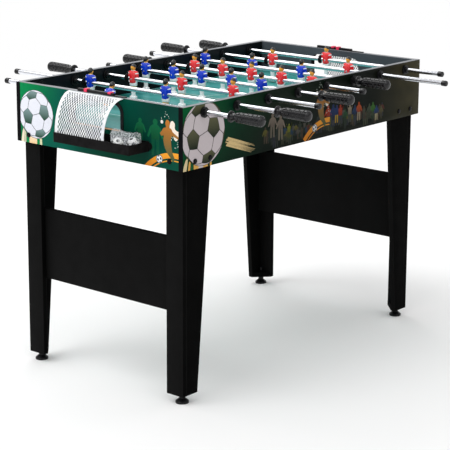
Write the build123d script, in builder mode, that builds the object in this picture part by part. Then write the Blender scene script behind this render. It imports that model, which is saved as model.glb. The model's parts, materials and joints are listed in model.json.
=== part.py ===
"""Foosball table: cabinet, legs, rods, players, goals and fittings, in millimetres.

Origin: on the floor at the centre of the table.  +X runs along the table's
length, +Y across it, +Z up.  Blue players face +X and red players face -X.
"""
from build123d import *
import os

os.makedirs("parts", exist_ok=True)

# ---- cabinet ----
table_length = 1070.0
table_width = 610.0
top_z = 800.0                       # top edge of the cabinet
cabinet_depth = 165.0
board = 15.0                        # thickness of every cabinet and leg board
edge_round = 1.5
end_x = table_length / 2
side_y = table_width / 2
inner_x = end_x - board
inner_y = side_y - board
bottom_z = top_z - cabinet_depth

# ---- rods ----
rod_pitch = 130.0
rod_count = 8
rod_drop = 22.0                     # rod axis below the cabinet's top edge
rod_z = top_z - rod_drop
rod_r = 6.35
rod_wall = 1.0
running_gap = 0.05                  # radial clearance round a rod

# ---- playfield ----
foot_reach = 62.0                   # rod axis to the sole of a player
field_gap = 4.0
field_thickness = 6.0
field_z = rod_z - foot_reach - field_gap
batten = 15.0
brace_width = 40.0

# ---- goals, nets and ball trays ----
goal_half = 90.0
goal_top = 780.0
goal_sill = field_z - 1.0
goal_round = 22.0
arch_width = 10.0
arch_thickness = 3.0
arch_bevel = 0.8
net_half = 99.0
net_reach = 75.0
net_sheet = 2.0
net_slant = 20.0                    # how much its closed end narrows towards the front
net_skirt = 8.0                     # straight stretch that hangs into the tray
tray_reach = 77.0
tray_wall = 2.0
tray_bottom = 673.0
tray_top = 699.0
tray_open_end = 190.0               # how far the tray runs past the net, for picking balls
tray_closed_end = 84.0
tray_round = 3.0
tray_tab = 10.0
tray_tab_height = 20.0
ball_r = 16.5
ball_lift = 0.3                     # balls rest this far above the tray's floor
ball_places = ((-14.0, -128.0), (13.0, -158.0))     # from the middle of the tray

# ---- legs ----
leg_bottom = 24.0
leg_top = 690.0
leg_face = 57.0
leg_side_top = 95.0
leg_side_bottom = 43.0
glue_gap = 0.3                      # between the boards of a leg
stretcher_bottom = 247.0
stretcher_top = 447.0
foot_plate = 15.0                   # three-cornered board inside the foot of each leg
foot_inset = 38.0                   # levelling screw from the cabinet's outer faces
pad_r = 18.0
pad_height = 5.0
foot_cone_r = 11.0
foot_cone_z = 11.0
foot_neck_r = 8.5
foot_neck_z = 13.0
foot_neck_top = 20.0
foot_edge_round = 1.0
screw_r = 4.0
screw_spare = 14.0                  # screw end above its foot plate
bolt_z = 656.0
bolt_insets = (46.0, 105.0)         # side bolts from the end of the cabinet
end_bolt_inset = 46.0
bolt_shank_r = 3.0
bolt_hole_r = 3.3
bolt_head_r = 7.0
bolt_head = 3.5
bolt_dome = 3.0
bolt_nut_r = 5.5
bolt_nut = 5.0
bolt_end = 2.0                      # shank beyond its nut

# ---- score rails ----
rail_ends = (-59.0, 71.0)
rail_width = 9.0
rail_height = 7.5
rail_tail_end = -102.0
rail_tail = 2.5                     # height of the low tail
top_round = 1.0                     # upper edges of rails and sliders
slider_length = 10.0
slider_wall = 2.0
slider_gap = 0.3
slider_skirt = 1.0                  # a slider's long side above the cabinet
slider_lip = 3.0                    # its short side, below the top of the rail
# One row per slider: x side, y along the rail, and the side its long edge hangs on.
sliders = {
    "left_1": (-1, 40.0, -1),
    "left_2": (-1, -47.0, 1),
    "right_1": (1, -9.0, -1),
    "right_2": (1, 10.0, 1),
}

# ---- bushings ----
bush_hole_r = 11.0
bush_flange_r = 14.0
bush_flange = 5.0
bush_collar_r = 9.0
bush_collar = 8.0
bush_nut_r = 15.5
bush_nut = 4.0
bush_thread_r = 10.0
bush_inner = 8.0                    # how far a bushing stands inside the cabinet

# ---- rod furniture ----
grip_length = 107.0
grip_r = 14.5                       # widest, near the outer end
grip_round = 8.5
grip_shoulder = 8.0                 # where the widest ring stands
grip_waist_r = 13.0
grip_waist = 84.0                   # end of the padded stretch
grip_neck_r = 9.5
grip_neck = 92.0                    # start of the smooth neck
grip_flange_r = 15.0
grip_flange = 103.0                 # start of the flange
grip_bore = 12.0                    # where the rod's end seats
cap_length = 16.0
cap_r = 8.0
cap_bevel = 1.5
cap_bore = 4.0
bumper_r = 13.0
bumper_collar_r = 10.5
bumper_start = 18.5                 # from the centre of the rod's last player
bumper_end = 24.0
bumper_flange = 2.5
bumper_cone = 1.0
bumper_rest = 0.3                   # between a near-side bumper and its bushing

# ---- players: half widths and heights from the rod axis ----
player_depth = 14.0
player_corner = 3.0
neck = (4.5, 26.0)
shoulder = (12.0, 22.0)
elbow = (18.0, 6.0)
wrist = (16.0, -9.0)
hip = (12.5, -11.0)
short_hem = (12.5, -20.0)
knee = (6.0, -28.0)
ankle = (6.0, -49.0)
foot_width = 20.0
foot_depth = 13.0
head_r = 9.5
head_z = 33.0
neck_height = 8.0
hub_r = 9.5

# One row per rod: -Y end, +Y end, middle of its players, player count, handle side.
rods = [
    (-501.0, 434.0, 32.0, 1, -1),
    (-547.0, 535.0, 85.0, 2, -1),
    (-481.0, 529.0, 0.0, 3, 1),
    (-491.0, 415.0, 39.0, 5, -1),
    (-438.0, 468.0, -38.0, 5, 1),
    (-428.0, 478.0, 66.0, 3, -1),
    (-535.0, 547.0, -51.0, 2, 1),
    (-439.0, 496.0, -17.0, 1, 1),
]
player_pitch = {1: 0.0, 2: 284.0, 3: 185.0, 5: 109.0}
goalie_tilt = 27.0                  # the first goalie leans forward at rest

rod_xs = [(i - (rod_count - 1) / 2) * rod_pitch for i in range(rod_count)]
corners = [("near_left", -1, -1), ("far_left", -1, 1), ("near_right", 1, -1), ("far_right", 1, 1)]


def save(piece, name):
    """Label a finished piece and write it as its own STEP file."""
    piece.part.label = name
    export_step(piece.part, f"parts/{name}.step")


def span(low, high):
    """Middle and length of a stretch."""
    return (low + high) / 2, high - low


# =====================================================================
# Cabinet
# =====================================================================
def long_side(y_low):
    """Long cabinet side, drilled for eight bushings and four leg bolts."""
    bolt_xs = [s * (end_x - inset) for s in (-1, 1) for inset in bolt_insets]
    with BuildPart() as piece:
        with BuildSketch(Plane.XZ.offset(-y_low)):
            with Locations((0, (top_z + bottom_z) / 2)):
                Rectangle(table_length, cabinet_depth)
            with Locations(*[(x, rod_z) for x in rod_xs]):
                Circle(bush_hole_r, mode=Mode.SUBTRACT)
            with Locations(*[(x, bolt_z) for x in bolt_xs]):
                Circle(bolt_hole_r, mode=Mode.SUBTRACT)
        extrude(amount=-board)
        fillet(piece.edges().filter_by(Axis.X).group_by(Axis.Z)[-1], edge_round)
    return piece


def end_panel(x_low):
    """Cabinet end between the long sides, with the arched goal cut-out."""
    bolt_y = side_y - end_bolt_inset
    with BuildPart() as piece:
        with BuildSketch(Plane.YZ.offset(x_low)):
            with Locations((0, (top_z + bottom_z) / 2)):
                Rectangle(2 * inner_y, cabinet_depth)
            with Locations((-bolt_y, bolt_z), (bolt_y, bolt_z)):
                Circle(bolt_hole_r, mode=Mode.SUBTRACT)
        extrude(amount=board)
        with BuildSketch(Plane.YZ.offset(x_low)):
            with Locations((0, (goal_sill + goal_top) / 2)):
                Rectangle(2 * goal_half, goal_top - goal_sill)
        extrude(amount=board, mode=Mode.SUBTRACT)
        arch_corners = piece.edges().filter_by(Axis.X).filter_by_position(
            Axis.Z, goal_top - 1, goal_top + 1)
        fillet(arch_corners, goal_round)
        fillet(piece.edges().filter_by(Axis.Y).group_by(Axis.Z)[-1], edge_round)
    return piece


save(long_side(-side_y), "long_side_near")
save(long_side(inner_y), "long_side_far")
save(end_panel(-end_x), "end_panel_left")
save(end_panel(inner_x), "end_panel_right")

with BuildPart() as playfield:
    with BuildSketch(Plane.XY.offset(field_z - field_thickness)):
        Rectangle(2 * inner_x, 2 * inner_y)
    extrude(amount=field_thickness)
save(playfield, "playfield")

# Battens along all four walls and two cross braces carry the playfield.
end_batten_length = 2 * (inner_y - batten) - 1
with BuildPart() as field_battens:
    with BuildSketch(Plane.XY.offset(field_z - field_thickness - batten)):
        with Locations((0, inner_y - batten / 2), (0, batten / 2 - inner_y)):
            Rectangle(2 * inner_x, batten)
        with Locations((inner_x - batten / 2, 0), (batten / 2 - inner_x, 0)):
            Rectangle(batten, end_batten_length)
        with Locations((-1.5 * rod_pitch, 0), (1.5 * rod_pitch, 0)):
            Rectangle(brace_width, end_batten_length)
    extrude(amount=batten)
save(field_battens, "field_battens")

# =====================================================================
# Goals, nets, trays and balls; the right end is the left end turned half round
# =====================================================================
with BuildPart() as goal_arch:
    with BuildSketch(Plane.YZ.offset(-end_x - arch_thickness)):
        with BuildLine():
            outer = goal_half + arch_width
            low = (outer, goal_sill)
            FilletPolyline(
                (-outer, goal_sill), (-outer, goal_top + arch_width), (outer, goal_top + arch_width), low,
                radius=goal_round + arch_width)
            Line(low, (goal_half, goal_sill))
            FilletPolyline(
                (goal_half, goal_sill), (goal_half, goal_top), (-goal_half, goal_top),
                (-goal_half, goal_sill), radius=goal_round)
            Line((-goal_half, goal_sill), (-outer, goal_sill))
        make_face()
    extrude(amount=arch_thickness)
    chamfer(goal_arch.faces().sort_by(Axis.X)[0].edges(), arch_bevel)

net_height = top_z - 1 - tray_top
with BuildPart() as goal_net:
    with BuildSketch(Plane.XZ.offset(-net_half)):
        with BuildLine():
            inner_reach = net_reach - net_sheet
            inner_height = net_height - net_sheet
            arc_centre = (-end_x, tray_top)
            EllipticalCenterArc(arc_centre, net_reach, net_height, start_angle=90, arc_size=90)
            Polyline(
                (-end_x - net_reach, tray_top), (-end_x - net_reach, tray_top - net_skirt),
                (-end_x - inner_reach, tray_top - net_skirt), (-end_x - inner_reach, tray_top))
            EllipticalCenterArc(arc_centre, inner_reach, inner_height, start_angle=90, arc_size=90)
            Line((-end_x, tray_top + inner_height), (-end_x, tray_top + net_height))
        make_face()
    extrude(amount=2 * net_half)
    with BuildSketch(Plane.XY.offset(tray_top - net_skirt)):
        with BuildLine():
            front = -end_x - net_reach
            Polyline((-end_x, net_half), (front, net_half), (front, net_half - net_slant), close=True)
        make_face()
    extrude(amount=net_skirt + net_height, mode=Mode.SUBTRACT)

tray_mid, tray_length = span(-tray_open_end, tray_closed_end)
with BuildPart() as ball_tray:
    with BuildSketch(Plane.XY.offset(tray_bottom)):
        with Locations((-end_x - tray_reach / 2, tray_mid)):
            Rectangle(tray_reach, tray_length)
    extrude(amount=tray_top - tray_bottom)
    fillet(ball_tray.edges().filter_by(Axis.Z).group_by(Axis.X)[0], tray_round)
    offset(amount=-tray_wall, openings=ball_tray.faces().sort_by(Axis.Z)[-1])
    with BuildSketch(Plane.YZ.offset(-end_x - tray_wall)):
        with Locations((tray_mid, (tray_bottom + tray_top) / 2)):
            SlotOverall(tray_length + 2 * tray_tab, tray_tab_height)
    extrude(amount=tray_wall)

# Each score rail is a raised bar with a low tail at its -Y end.
with BuildPart() as score_rails:
    for side in (-1, 1):
        rail_x = side * (inner_x + board / 2)
        with BuildSketch(Plane.XY.offset(top_z)):
            mid, length = span(rail_tail_end, rail_ends[1])
            with Locations((rail_x, mid)):
                Rectangle(rail_width, length)
        extrude(amount=rail_tail)
        with BuildSketch(Plane.XY.offset(top_z + rail_tail)):
            mid, length = span(*rail_ends)
            with Locations((rail_x, mid)):
                Rectangle(rail_width, length)
        extrude(amount=rail_height - rail_tail)
    fillet(score_rails.faces().filter_by(Axis.Z).group_by(Axis.Z)[-1].edges(), top_round)
save(score_rails, "score_rails")

for end, turn in (("left", 0), ("right", 180)):
    with BuildPart() as placed:
        with Locations(Rotation(0, 0, turn)):
            add(goal_net.part)
    save(placed, f"goal_net_{end}")

for name, source in (("goal_arches", goal_arch), ("ball_trays", ball_tray)):
    with BuildPart() as pair:
        with Locations(Rotation(0, 0, 0), Rotation(0, 0, 180)):
            add(source.part)
    save(pair, name)

tray_x = -end_x - tray_reach / 2
ball_z = tray_bottom + tray_wall + ball_lift + ball_r
with BuildPart() as practice_balls:
    with Locations(*[(tray_x + dx, y, ball_z) for dx, y in ball_places]):
        Sphere(ball_r)
save(practice_balls, "practice_balls")

# A slider straddles the rail with a small gap on three sides; its -X side is the long one.
slider_out = rail_width / 2 + slider_gap + slider_wall
slider_top = top_z + rail_height + slider_gap
with BuildPart() as score_slider:
    with BuildSketch(Plane.XZ.offset(slider_length / 2)):
        mid, height = span(top_z + slider_skirt, slider_top + slider_wall)
        with Locations((0, mid)):
            Rectangle(2 * slider_out, height)
        mid, height = span(top_z, slider_top)
        with Locations((0, mid)):
            Rectangle(rail_width + 2 * slider_gap, height, mode=Mode.SUBTRACT)
        mid, height = span(top_z, slider_top - slider_lip)
        with Locations((slider_out - slider_wall / 2, mid)):
            Rectangle(slider_wall, height, mode=Mode.SUBTRACT)
    extrude(amount=-slider_length)
    fillet(score_slider.faces().sort_by(Axis.Z)[-1].edges(), top_round)

for name, (side, place, long_side_sign) in sliders.items():
    with BuildPart() as placed:
        with Locations(Location((side * (inner_x + board / 2), place, 0), (0, 0, 90 + 90 * long_side_sign))):
            add(score_slider.part)
    save(placed, f"score_slider_{name}")

# =====================================================================
# Legs, stretchers, bolts and levelling feet
# =====================================================================
def leg(sx, sy):
    """One leg of two boards and a foot plate; sx and sy say which corner."""
    x0, x1 = sx * inner_x, sx * (inner_x - board)
    y0, y1 = sy * inner_y, sy * (inner_y - board)
    top_reach, foot_side = x1 - sx * leg_side_top, x1 - sx * leg_side_bottom
    with BuildPart() as piece:
        with BuildSketch(Plane.YZ.offset(min(x0, x1))):
            mid_y = y0 - sy * leg_face / 2
            with Locations((mid_y, (leg_bottom + leg_top) / 2)):
                Rectangle(leg_face, leg_top - leg_bottom)
            with Locations((sy * (side_y - end_bolt_inset), bolt_z)):
                Circle(bolt_hole_r, mode=Mode.SUBTRACT)
        extrude(amount=board)
        with BuildSketch(Plane.XZ.offset(-min(y0, y1))):
            with BuildLine():
                Polyline(
                    (x1 - sx * glue_gap, leg_bottom), (foot_side, leg_bottom), (top_reach, bottom_z),
                    (top_reach, leg_top), (x1 - sx * glue_gap, leg_top), close=True)
            make_face()
            with Locations(*[(sx * (end_x - inset), bolt_z) for inset in bolt_insets]):
                Circle(bolt_hole_r, mode=Mode.SUBTRACT)
        extrude(amount=-board)
        with BuildSketch(Plane.XY.offset(leg_bottom)):
            corner_x, corner_y = x1 - sx * glue_gap, y1 - sy * glue_gap
            with BuildLine():
                Polyline(
                    (corner_x, corner_y), (foot_side, corner_y), (corner_x, y0 - sy * leg_face), close=True)
            make_face()
            with Locations((sx * (end_x - foot_inset), sy * (side_y - foot_inset))):
                Circle(screw_r + running_gap, mode=Mode.SUBTRACT)
        extrude(amount=foot_plate)
    return piece


for corner, sx, sy in corners:
    save(leg(sx, sy), f"leg_{corner}")

with BuildPart() as stretcher_panels:
    for x_low in (-inner_x + board, inner_x - 2 * board):
        with BuildSketch(Plane.YZ.offset(x_low)):
            with Locations((0, (stretcher_bottom + stretcher_top) / 2)):
                Rectangle(2 * (inner_y - board), stretcher_top - stretcher_bottom)
        extrude(amount=board)
save(stretcher_panels, "stretcher_panels")

# Bolt along +Z: the head's underside sits at z = 0 and the shank runs down.
bolt_reach = 2 * board + bolt_nut
with BuildPart() as leg_bolt:
    with BuildSketch():
        Circle(bolt_head_r)
    extrude(amount=bolt_head)
    fillet(leg_bolt.faces().sort_by(Axis.Z)[-1].edges(), bolt_dome)
    with BuildSketch(Plane.XY.offset(-bolt_reach - bolt_end)):
        Circle(bolt_shank_r)
    extrude(amount=bolt_reach + bolt_end)
    with BuildSketch(Plane.XY.offset(-bolt_reach)):
        RegularPolygon(bolt_nut_r, 6)
    extrude(amount=bolt_nut)

side_bolts = [
    Location((sx * (end_x - inset), sy * side_y, bolt_z), (-90 * sy, 0, 0))
    for _, sx, sy in corners for inset in bolt_insets]
end_bolts = [
    Location((sx * end_x, sy * (side_y - end_bolt_inset), bolt_z), (0, 90 * sx, 0))
    for _, sx, sy in corners]
with BuildPart() as leg_bolts:
    with Locations(*side_bolts, *end_bolts):
        add(leg_bolt.part)
save(leg_bolts, "leg_bolts")

# Levelling foot: pad, cone and screw on the Z axis.
screw_top = leg_bottom + foot_plate + screw_spare
with BuildPart() as levelling_foot:
    with BuildSketch(Plane.XZ):
        with BuildLine():
            Polyline(
                (0, 0), (pad_r, 0), (pad_r, pad_height), (foot_cone_r, foot_cone_z),
                (foot_neck_r, foot_neck_z), (foot_neck_r, foot_neck_top), (screw_r, foot_neck_top),
                (screw_r, screw_top), (0, screw_top), close=True)
        make_face()
    revolve(axis=Axis.Z)
    pad_rim = levelling_foot.edges().filter_by(GeomType.CIRCLE).group_by(Axis.Z)[1]
    fillet(pad_rim, foot_edge_round)

for corner, sx, sy in corners:
    with BuildPart() as placed:
        with Locations((sx * (end_x - foot_inset), sy * (side_y - foot_inset), 0)):
            add(levelling_foot.part)
    save(placed, f"levelling_foot_{corner}")

# =====================================================================
# Rod bushings.  Profiles below lie on the YZ plane, with the rod axis along Y.
# =====================================================================
bush_bore = rod_r + running_gap
with BuildPart() as bushing:                     # for the near side, at x = 0, z = 0
    with BuildSketch(Plane.YZ):
        with BuildLine():
            Polyline(
                (-side_y - bush_flange - bush_collar, bush_bore),
                (-side_y - bush_flange - bush_collar, bush_collar_r),
                (-side_y - bush_flange, bush_collar_r), (-side_y - bush_flange, bush_flange_r),
                (-side_y, bush_flange_r), (-side_y, bush_thread_r),
                (-inner_y + bush_inner, bush_thread_r), (-inner_y + bush_inner, bush_bore),
                close=True)
        make_face()
    revolve(axis=Axis.Y)

with BuildPart() as bushing_nut:
    with BuildSketch(Plane.YZ):
        with Locations((-inner_y + bush_nut / 2, (bush_nut_r + bush_thread_r + running_gap) / 2)):
            Rectangle(bush_nut, bush_nut_r - bush_thread_r - running_gap)
    revolve(axis=Axis.Y)

both_sides = [Location((x, 0, rod_z), (0, 0, turn)) for x in rod_xs for turn in (0, 180)]
with BuildPart() as rod_bushings:
    with Locations(*both_sides):
        add(bushing.part)
        add(bushing_nut.part)
save(rod_bushings, "rod_bushings")

# =====================================================================
# Player: stands on the Z axis, rod bore along Y at z = 0, facing +X
# =====================================================================
with BuildPart() as player:
    with BuildSketch(Plane.YZ):
        with BuildLine():
            one_side = [neck, shoulder, elbow, wrist, hip, short_hem, knee, ankle]
            Polyline(*one_side, *[(-y, z) for y, z in reversed(one_side)], close=True)
        make_face()
    extrude(amount=player_depth / 2, both=True)
    fillet(player.edges().filter_by(Axis.Z), player_corner)
    with BuildSketch(Plane.XY.offset(-foot_reach)):
        Rectangle(foot_depth, foot_width)
    extrude(amount=foot_reach + ankle[1])
    with BuildSketch(Plane.XZ):
        Circle(hub_r)
    extrude(amount=wrist[0], both=True)
    with Locations((0, 0, neck[1])):
        Cylinder(neck[0], neck_height)
    with Locations((0, 0, head_z)):
        Sphere(head_r)
    with BuildSketch(Plane.XZ):
        Circle(rod_r)
    extrude(amount=elbow[0], both=True, mode=Mode.SUBTRACT)

# =====================================================================
# Grip and end cap: both on the Y axis with their outer end towards -Y at y = 0
# =====================================================================
with BuildPart() as grip:
    with BuildSketch(Plane.YZ):
        with BuildLine():
            Line((0, 0), (0, grip_r - grip_round))
            RadiusArc((0, grip_r - grip_round), (grip_shoulder, grip_r), grip_round)
            Polyline(
                (grip_shoulder, grip_r), (grip_waist, grip_waist_r), (grip_neck, grip_neck_r),
                (grip_flange, grip_neck_r), (grip_flange, grip_flange_r), (grip_length, grip_flange_r),
                (grip_length, rod_r), (grip_bore, rod_r), (grip_bore, 0), (0, 0))
        make_face()
    revolve(axis=Axis.Y)

with BuildPart() as end_cap:
    with BuildSketch(Plane.YZ):
        with BuildLine():
            Polyline(
                (0, 0), (0, cap_r - cap_bevel), (cap_bevel, cap_r), (cap_length, cap_r),
                (cap_length, rod_r), (cap_bore, rod_r), (cap_bore, 0), close=True)
        make_face()
    revolve(axis=Axis.Y)

with BuildPart() as bumper:                      # outwards to +Y from the last player
    with BuildSketch(Plane.YZ):
        with BuildLine():
            flange_start = bumper_end - bumper_flange
            Polyline(
                (bumper_start, bush_bore), (bumper_start, bumper_collar_r),
                (flange_start - bumper_cone, bumper_collar_r), (flange_start, bumper_r),
                (bumper_end, bumper_r), (bumper_end, bush_bore), close=True)
        make_face()
    revolve(axis=Axis.Y)

for number, (x, (y_low, y_high, middle, count, handle)) in enumerate(zip(rod_xs, rods), start=1):
    low_bore, high_bore = (grip_bore, cap_bore) if handle < 0 else (cap_bore, grip_bore)
    with BuildPart() as rod:
        with BuildSketch(Plane.XZ.offset(-y_low - low_bore)):
            with Locations((x, rod_z)):
                Circle(rod_r)
                Circle(rod_r - rod_wall, mode=Mode.SUBTRACT)
        extrude(amount=-(y_high - high_bore - y_low - low_bore))
    save(rod, f"rod_{number}")

    half_row = player_pitch[count] * (count - 1) / 2
    facing = 0 if handle < 0 else 180
    tilt = goalie_tilt if number == 1 else 0
    with BuildPart() as players:
        places = [middle - half_row + k * player_pitch[count] for k in range(count)]
        with Locations(*[Location((x, y, rod_z), (0, tilt, facing)) for y in places]):
            add(player.part)
    save(players, f"rod_{number}_players")

    low_end = Location((x, y_low, rod_z))
    high_end = Location((x, y_high, rod_z), (0, 0, 180))
    with BuildPart() as fittings:
        with Locations(low_end if handle < 0 else high_end):
            add(grip.part)
        with Locations(high_end if handle < 0 else low_end):
            add(end_cap.part)
    save(fittings, f"rod_{number}_grip_and_cap")

    with BuildPart() as far_bumper:
        with Locations((x, middle + half_row, rod_z)):
            add(bumper.part)
    save(far_bumper, f"rod_{number}_bumper")

# The near-side bumpers have slid up against their bushings.
near_bumper_y = bumper_end + bumper_rest + bush_inner - inner_y
with BuildPart() as near_bumpers:
    with Locations(*[Location((x, near_bumper_y, rod_z), (0, 0, 180)) for x in rod_xs]):
        add(bumper.part)
save(near_bumpers, "near_bumpers")
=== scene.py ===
"""Looks of the foosball table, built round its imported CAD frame.

Metres, in the frame's axes: +X along the table, +Y across it, +Z up.
Measures written in millimetres are multiplied by MM where they are used.
"""
import json
import random
from math import atan2, copysign, cos, degrees, dist, hypot, pi, radians, sin, sqrt

import bmesh
import bpy
from mathutils import Matrix, Vector

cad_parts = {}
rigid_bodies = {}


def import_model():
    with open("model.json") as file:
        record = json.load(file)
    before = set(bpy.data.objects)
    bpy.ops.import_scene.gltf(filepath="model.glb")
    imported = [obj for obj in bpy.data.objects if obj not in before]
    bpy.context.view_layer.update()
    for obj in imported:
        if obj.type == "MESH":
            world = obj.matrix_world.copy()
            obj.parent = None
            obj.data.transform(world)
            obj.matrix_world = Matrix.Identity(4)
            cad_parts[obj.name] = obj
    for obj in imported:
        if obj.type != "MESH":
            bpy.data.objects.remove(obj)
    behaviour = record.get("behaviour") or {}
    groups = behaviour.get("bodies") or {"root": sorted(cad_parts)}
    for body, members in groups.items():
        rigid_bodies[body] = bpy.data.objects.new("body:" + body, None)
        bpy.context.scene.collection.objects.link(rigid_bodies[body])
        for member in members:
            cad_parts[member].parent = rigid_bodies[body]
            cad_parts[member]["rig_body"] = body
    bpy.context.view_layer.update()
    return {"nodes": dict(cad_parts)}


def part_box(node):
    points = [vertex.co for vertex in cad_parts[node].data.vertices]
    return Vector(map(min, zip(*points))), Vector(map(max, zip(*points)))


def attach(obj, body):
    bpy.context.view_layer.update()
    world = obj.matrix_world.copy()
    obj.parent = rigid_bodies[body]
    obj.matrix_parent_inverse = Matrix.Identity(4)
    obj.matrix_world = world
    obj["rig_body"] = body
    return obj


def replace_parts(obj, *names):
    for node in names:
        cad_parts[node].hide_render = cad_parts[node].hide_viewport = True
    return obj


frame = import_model()
nodes = frame["nodes"]
MM = 0.001

# ---- places read from the frame ----
near_low, near_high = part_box("long_side_near")
left_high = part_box("end_panel_left")[1]
END_X = -near_low.x
SIDE_Y = -near_low.y
INNER_X = -left_high.x
INNER_Y = -near_high.y
TOP_Z = near_high.z
BOTTOM_Z = near_low.z
FIELD_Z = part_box("playfield")[1].z
HALF_TURN = Matrix.Rotation(pi, 4, "Z")


def rgb(red, green, blue):
    """A colour given as 0 to 255 display values, as linear light."""
    return tuple(
        (c / 255 / 12.92) if c <= 10 else ((c / 255 + 0.055) / 1.055) ** 2.4 for c in (red, green, blue))


# ---- Materials ----
LOOKS = {}    # every procedural material, by name


class Look:
    """A procedural material.  Methods that add nodes return their output socket."""

    def __init__(self, name, color, roughness=0.5, **fixed):
        LOOKS[name] = bpy.data.materials.new(name)
        LOOKS[name].use_nodes = True
        self.tree = LOOKS[name].node_tree
        self.shader = self.tree.nodes["Principled BSDF"]
        self.plug(self.shader.inputs["Base Color"], color)
        self.plug(self.shader.inputs["Roughness"], roughness)
        for key, value in fixed.items():
            self.plug(self.shader.inputs[key.replace("_", " ")], value)

    def plug(self, socket, value):
        if isinstance(value, bpy.types.NodeSocket):
            self.tree.links.new(value, socket)
        elif isinstance(value, (tuple, Vector)) and socket.type == "RGBA":
            socket.default_value = (*value[:3], 1.0)
        else:
            socket.default_value = value

    def set(self, socket_name, value):
        self.plug(self.shader.inputs[socket_name], value)

    def node(self, kind, inputs, **settings):
        made = self.tree.nodes.new("ShaderNode" + kind)
        for key, value in settings.items():
            setattr(made, key, value)
        for key, value in inputs.items():
            self.plug(made.inputs[key], value)
        return made

    def place(self, stretch=(1, 1, 1)):
        """Object coordinates, scaled along each axis."""
        coords = self.node("TexCoord", {}).outputs["Object"]
        return self.node("Mapping", {"Vector": coords, "Scale": stretch}).outputs[0]

    def axis(self, letter):
        coords = self.node("TexCoord", {}).outputs["Object"]
        return self.node("SeparateXYZ", {0: coords}).outputs[letter]

    def noise(self, scale, detail=3.0, stretch=(1, 1, 1)):
        inputs = {"Vector": self.place(stretch), "Scale": scale, "Detail": detail}
        return self.node("TexNoise", inputs).outputs["Fac"]

    def spread(self, value, low, high, to_low=0.0, to_high=1.0):
        inputs = {"Value": value, "From Min": low, "From Max": high, "To Min": to_low, "To Max": to_high}
        return self.node("MapRange", inputs).outputs[0]

    def ramp(self, value, stops):
        """Colours along a value; each stop is its place and a display red, green and blue."""
        made = self.node("ValToRGB", {"Fac": value})
        elements = made.color_ramp.elements
        while len(elements) < len(stops):
            elements.new(0.5)
        for element, (position, *color) in zip(elements, stops):
            element.position = position
            element.color = (*rgb(*color), 1.0)
        return made.outputs["Color"]

    def mix(self, share, first, second):
        made = self.node("Mix", {}, data_type="RGBA")
        for socket, value in zip((made.inputs[0], made.inputs[6], made.inputs[7]), (share, first, second)):
            self.plug(socket, value)
        return made.outputs[2]

    def bump(self, height, strength, distance):
        inputs = {"Height": height, "Strength": strength, "Distance": distance}
        self.set("Normal", self.node("Bump", inputs).outputs[0])

    def vary_color(self, first, second, noise, low=0.35, high=0.7, most=1.0):
        """Base colour that turns from first towards second where the noise is high."""
        self.set("Base Color", self.mix(self.spread(noise, low, high, 0.0, most), first, second))

    def vary_roughness(self, low, high, scale, detail=3.0):
        self.set("Roughness", self.spread(self.noise(scale, detail), 0.3, 0.7, low, high))


def laminate(look):
    """Faint orange-peel of a foil-wrapped board, and a roughness that varies with it."""
    look.bump(look.noise(900.0, 2.0), 0.08, 0.0002)
    look.vary_roughness(0.38, 0.52, 14.0)


def foil(name, color, axis, start, end, upper, lower, marks, stain):
    """Printed foil: its colours run from start to end along an axis, and blend from the board's lower to
    its upper edge.  marks are a noise's scale and detail, the span of it that stains, and how strongly."""
    look = Look(name, rgb(*color), Specular_IOR_Level=0.04)
    along = look.spread(look.axis(axis), start, end)
    height = look.spread(look.axis("Z"), BOTTOM_Z, TOP_Z)
    base = look.mix(height, look.ramp(along, lower), look.ramp(along, upper))
    scale, detail, low, high, strength = marks
    look.vary_color(base, rgb(*stain), look.noise(scale, detail), low, high, strength)
    laminate(look)


def side_print(name, turn):
    """Foil of the long sides: dark green running to near-black and then olive; turn is -1 on the far side."""
    upper = (
        (0.0, 0, 90, 46), (0.12, 0, 74, 38), (0.17, 0, 52, 30), (0.25, 4, 38, 18), (0.35, 14, 28, 15),
        (0.46, 8, 22, 12), (0.72, 3, 8, 3), (0.8, 12, 14, 8), (0.9, 46, 42, 26), (1.0, 62, 58, 38))
    lower = (
        (0.0, 0, 54, 28), (0.2, 0, 30, 16), (0.3, 6, 17, 10), (0.45, 14, 20, 12), (0.62, 13, 17, 10),
        (0.76, 5, 12, 6), (0.84, 26, 28, 17), (1.0, 54, 50, 33))
    foil(
        name, (10, 40, 25), "X", -turn * END_X, turn * END_X, upper, lower,
        (16.0, 5.0, 0.35, 0.75, 0.45), (3, 10, 7))


def end_print(name, turn):
    """Foil of the ends: bright green running to teal and a dark blue-green; turn is -1 on the right."""
    upper = (
        (0.0, 0, 140, 78), (0.12, 0, 124, 69), (0.2, 2, 104, 70), (0.28, 0, 86, 72), (0.65, 0, 78, 62),
        (0.76, 0, 68, 55), (0.86, 6, 56, 47), (1.0, 11, 58, 50))
    lower = (
        (0.0, 2, 112, 66), (0.15, 3, 92, 74), (0.3, 0, 88, 72), (0.6, 0, 66, 46), (0.8, 0, 56, 42),
        (0.9, 0, 72, 57), (1.0, 10, 78, 60))
    foil(
        name, (0, 90, 70), "Y", turn * INNER_Y, -turn * INNER_Y, upper, lower,
        (160.0, 4.0, 0.5, 0.8, 0.3), (0, 70, 60))


def ink():
    """Printed shapes: their colours come from the mesh."""
    look = Look("printed_ink", (0.5, 0.5, 0.5), 0.45, Specular_IOR_Level=0.05)
    color = look.node("VertexColor", {}, layer_name="ink").outputs["Color"]
    look.vary_color(color, rgb(90, 92, 84), look.noise(420.0), most=0.1)
    look.bump(look.noise(900.0, 2.0), 0.08, 0.0002)


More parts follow.
